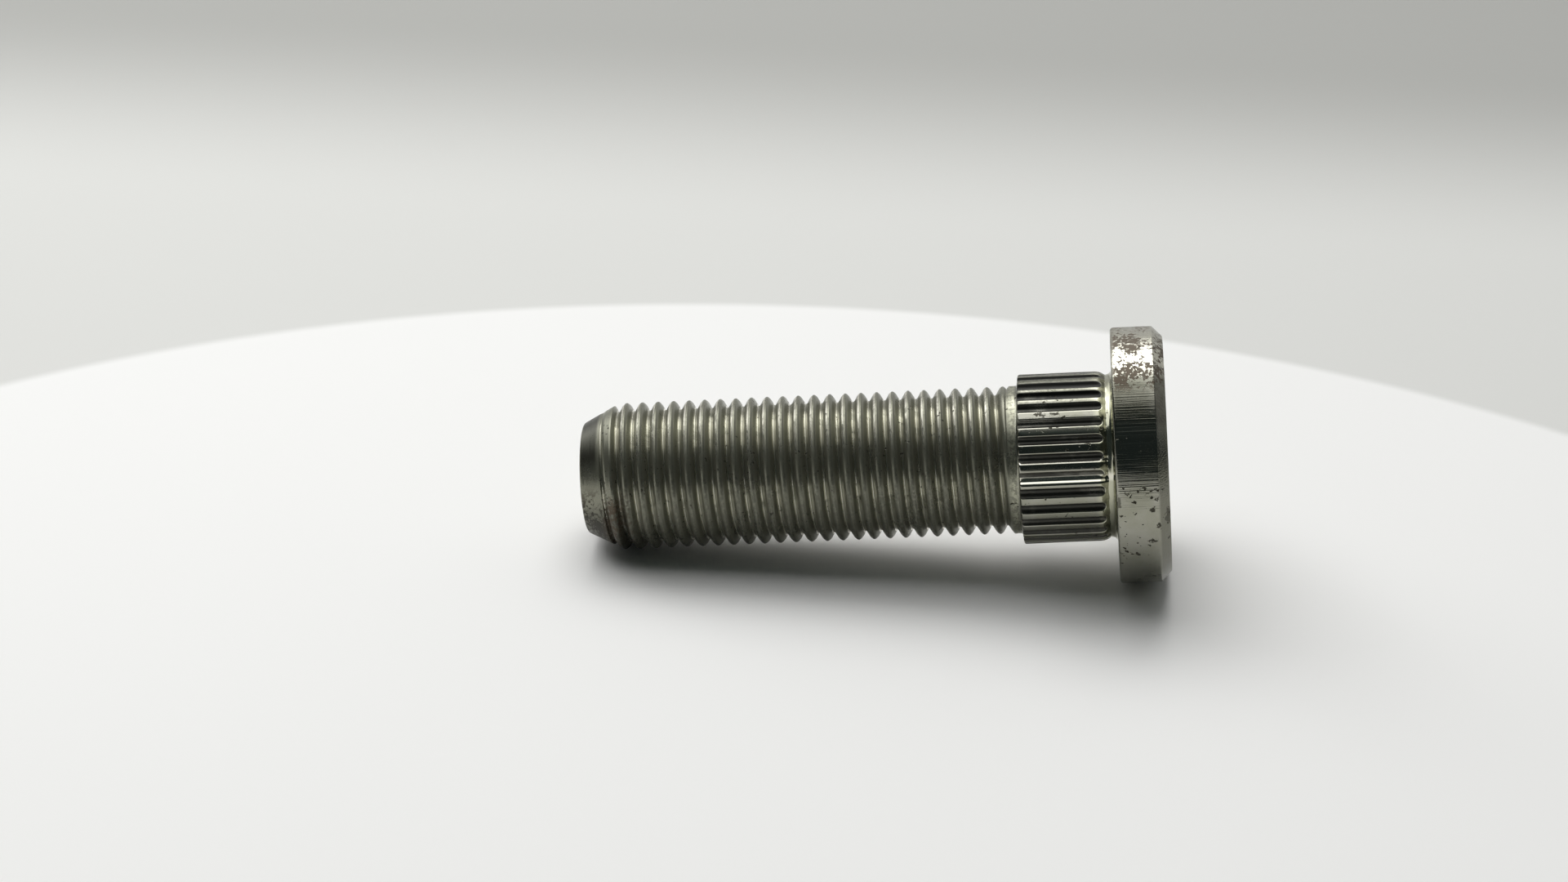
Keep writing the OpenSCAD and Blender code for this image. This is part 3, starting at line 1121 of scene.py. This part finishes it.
@dataclass(frozen=True)
class SoftLamp:
    """A soft rectangular lamp aimed at the stud.

    over is its angle over the stud towards the backdrop, from straight up, and beside its angle to the
    side, towards the tip. Angles are in degrees, distance and size in metres, and radiance is the
    brightness of its face, where white is 1.
    """

    name: str
    over: float
    beside: float
    distance: float
    size: tuple[float, float]
    radiance: float

    def build(self, aim: Vector, way: Directions) -> bpy.types.Object:
        """Makes the lamp.

        Args:
            aim: Point that the lamp is turned to, in metres.
            way: Directions of the stage.

        Returns:
            The lamp, linked to the scene.
        """
        over, beside = math.radians(self.over), math.radians(self.beside)
        towards = (way.up * math.cos(over) + way.away * math.sin(over)) * math.cos(beside)
        towards += way.along * math.sin(beside)
        long_side = (way.along - towards * way.along.dot(towards)).normalized()
        data = bpy.data.lights.new(self.name, "AREA")
        data.shape = "RECTANGLE"
        data.size, data.size_y = self.size
        data.energy = self.radiance * math.pi * self.size[0] * self.size[1]
        lamp = new_object(self.name, data)
        place = aim + towards * self.distance
        lamp.matrix_world = placed(long_side, towards.cross(long_side), towards, place)
        return lamp


@dataclass(frozen=True)
class RoomGlow:
    """A round glow of the room: its aim as (up, away, along), the ramp on the cosine, and its strength."""

    aim: tuple[float, float, float]
    ramp: tuple[float, float]
    strength: float


@dataclass
class Studio:
    """Plain pale floor and soft light, laid out for the stud lying on its side.

    The floor touches the head's rim and the thread, tip_rest short of the tip, so it leans against the
    standing stud. camera_height is the camera's angle above it in degrees. It is white up to disc_radius
    from disc_middle, which is given along the stud and away from the camera from under the seat, and a
    grey backdrop beyond, with edge_blur half the width of the edge, in millimetres. The room light goes
    from dark_tint where it is weak to light_tint at tint_level, and the camera sees it at seen_level.
    """

    shape: StudShape
    camera_height: float = 25.0
    tip_rest: float = 3.4
    floor_white: Rgba = (0.95, 0.945, 0.93, 1.0)
    # The grey backdrop darkens away from the camera: painted shade.
    backdrop_near: Rgba = (0.75, 0.75, 0.725, 1.0)
    backdrop_far: Rgba = (0.46, 0.46, 0.44, 1.0)
    disc_radius: float = 134.3
    disc_middle: tuple[float, float] = (28.8, -73.9)
    backdrop_span: tuple[float, float] = (84.0, 152.0)
    edge_blur: float = 1.0
    floor_size: float = 1.6
    dark_side: float = 0.03
    tint_level: float = 0.2
    seen_level: float = 0.75
    dark_tint: Rgba = (0.75, 1.0, 1.0, 1.0)
    light_tint: Rgba = (1.0, 1.0, 0.985, 1.0)
    lamps: tuple[SoftLamp, ...] = (
        SoftLamp("overhead_softbox", 12.0, 14.0, 0.5, (0.6, 0.53), 1.45),
        SoftLamp("backdrop_side_softbox", 32.0, 14.0, 0.5, (0.56, 0.34), 1.1),
        SoftLamp("tip_side_strip", 36.0, 48.0, 0.6, (0.2, 0.45), 1.4),
    )
    glows: tuple[RoomGlow, ...] = (
        RoomGlow((0.1, 0.9, -0.3), (0.15, 0.95), 0.55),
        RoomGlow((0.95, 0.1, 0.0), (0.7, 0.97), 0.15),
        RoomGlow((0.82, 0.57, 0.1), (0.92, 0.985), 1.4),
        RoomGlow((0.37, 0.70, 0.62), (0.96, 0.985), 1.0),
    )

    def directions(self) -> Directions:
        """Directions for a floor that leans by the angle between the stud's axis and its side."""
        rim, thread_top = self.shape.head.radius, self.shape.thread.major_radius
        lean = math.atan2(rim - thread_top, self.shape.thread.end - self.tip_rest)
        height = math.radians(self.camera_height)
        side, axis = Vector((math.cos(height), -math.sin(height), 0.0)), Vector((0.0, 0.0, 1.0))
        up = side * math.cos(lean) - axis * math.sin(lean)
        along = side * math.sin(lean) + axis * math.cos(lean)
        return Directions(up, along, along.cross(up))

    def floor(self, under: Vector, way: Directions) -> bpy.types.Object:
        """Makes the floor, a square.

        Args:
            under: The floor's point under the seat, in metres.
            way: Directions of the stage.

        Returns:
            The floor, linked to the scene.
        """
        half = self.floor_size / 2.0
        corners = ((-half, -half), (-half, half), (half, half), (half, -half))
        mesh = bpy.data.meshes.new("pale_floor")
        mesh.from_pydata([under + way.along * u + way.away * v for u, v in corners], [], [(0, 1, 2, 3)])
        mesh.materials.append(self.floor_finish(under, way))
        floor = new_object("pale_floor", mesh)
        return floor

    def floor_finish(self, under: Vector, way: Directions) -> bpy.types.Material:
        """Makes the floor's material: a white disc and the grey backdrop, both clear from below.

        Args:
            under: The floor's point under the seat, in metres.
            way: Directions of the stage.

        Returns:
            The material.
        """
        material = bpy.data.materials.new("pale_floor")
        n = NodeTree.emptied(material)
        coords = n.add("ShaderNodeTexCoord").outputs["Object"]
        middle = under + way.along * self.disc_middle[0] * MM + way.away * self.disc_middle[1] * MM
        reach = n.vector("DISTANCE", coords, middle)["Value"]
        back = n.vector("DOT_PRODUCT", coords, way.away)["Value"]
        # Painted shade: the backdrop's grey darkens away from the camera.
        near, far = (under.dot(way.away) + MM * span for span in self.backdrop_span)
        backdrop = n.mix(n.ramp(back, near, far), self.backdrop_near, self.backdrop_far)
        inner, outer = (MM * (self.disc_radius + side * self.edge_blur) for side in (-1.0, 1.0))
        colour = n.mix(n.ramp(reach, inner, outer), self.floor_white, backdrop)
        pale = n.add("ShaderNodeBsdfDiffuse", {"Color": colour}).outputs["BSDF"]
        clear = n.add("ShaderNodeBsdfTransparent").outputs["BSDF"]
        behind = n.add("ShaderNodeNewGeometry").outputs["Backfacing"]
        mix = n.add("ShaderNodeMixShader", {0: behind, 1: pale, 2: clear})
        n.add("ShaderNodeOutputMaterial", {"Surface": mix.outputs[0]})
        return material

    def world(self, way: Directions) -> None:
        """Makes the room light: large and soft over and behind the stud, dark in front.

        Each part is a round glow: the cosine of the angle to its aim, put through a smooth ramp.
        """
        world = bpy.data.worlds.new("studio_room")
        bpy.context.scene.world = world
        n = NodeTree.emptied(world)
        look = n.add("ShaderNodeTexCoord").outputs["Generated"]
        level = self.dark_side
        for glow in self.glows:
            centre = way.up * glow.aim[0] + way.away * glow.aim[1] + way.along * glow.aim[2]
            near = n.vector("DOT_PRODUCT", look, centre.normalized())["Value"]
            level = n.math("ADD", level, n.ramp(near, *glow.ramp, 0.0, glow.strength))
        colour = n.mix(n.ramp(level, self.dark_side, self.tint_level), self.dark_tint, self.light_tint)
        seen = n.add("ShaderNodeLightPath").outputs["Is Camera Ray"]
        colour = n.mix(seen, colour, self.light_tint)
        level = n.math("ADD", n.product(level, n.inverse(seen)), n.product(seen, self.seen_level))
        shade = n.add("ShaderNodeBackground", {"Color": colour, "Strength": level})
        n.add("ShaderNodeOutputWorld", {"Surface": shade.outputs[0]})

    def build(self) -> None:
        """Makes the floor, the room light and the lamps, which are aimed at the stud's middle."""
        way = self.directions()
        side = Vector((way.up.x, way.up.y, 0.0)).normalized()
        self.floor(side * -self.shape.head.radius * MM, way)
        self.world(way)
        for lamp in self.lamps:
            lamp.build(Vector((0.0, 0.0, 0.5 * self.shape.thread.end * MM)), way)


def set_view() -> None:
    """Plain colours: the Standard view transform, and nothing done to the picture afterwards."""
    bpy.context.scene.view_settings.view_transform = "Standard"


def main() -> None:
    """Builds the stud, its finish, the camera and the studio, in that order."""
    logging.basicConfig(level=logging.INFO, format="%(name)s: %(message)s")
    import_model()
    set_view()
    PhotoCamera().build()
    body = StudBody()
    piece = body.build()
    piece.data.materials.append(ZincFinish().build())
    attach(piece, "root")
    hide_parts(NODE)
    LOG.info("%s: %d faces", piece.name, len(piece.data.polygons))
    Studio(body.shape).build()


if __name__ == "__main__":
    main()
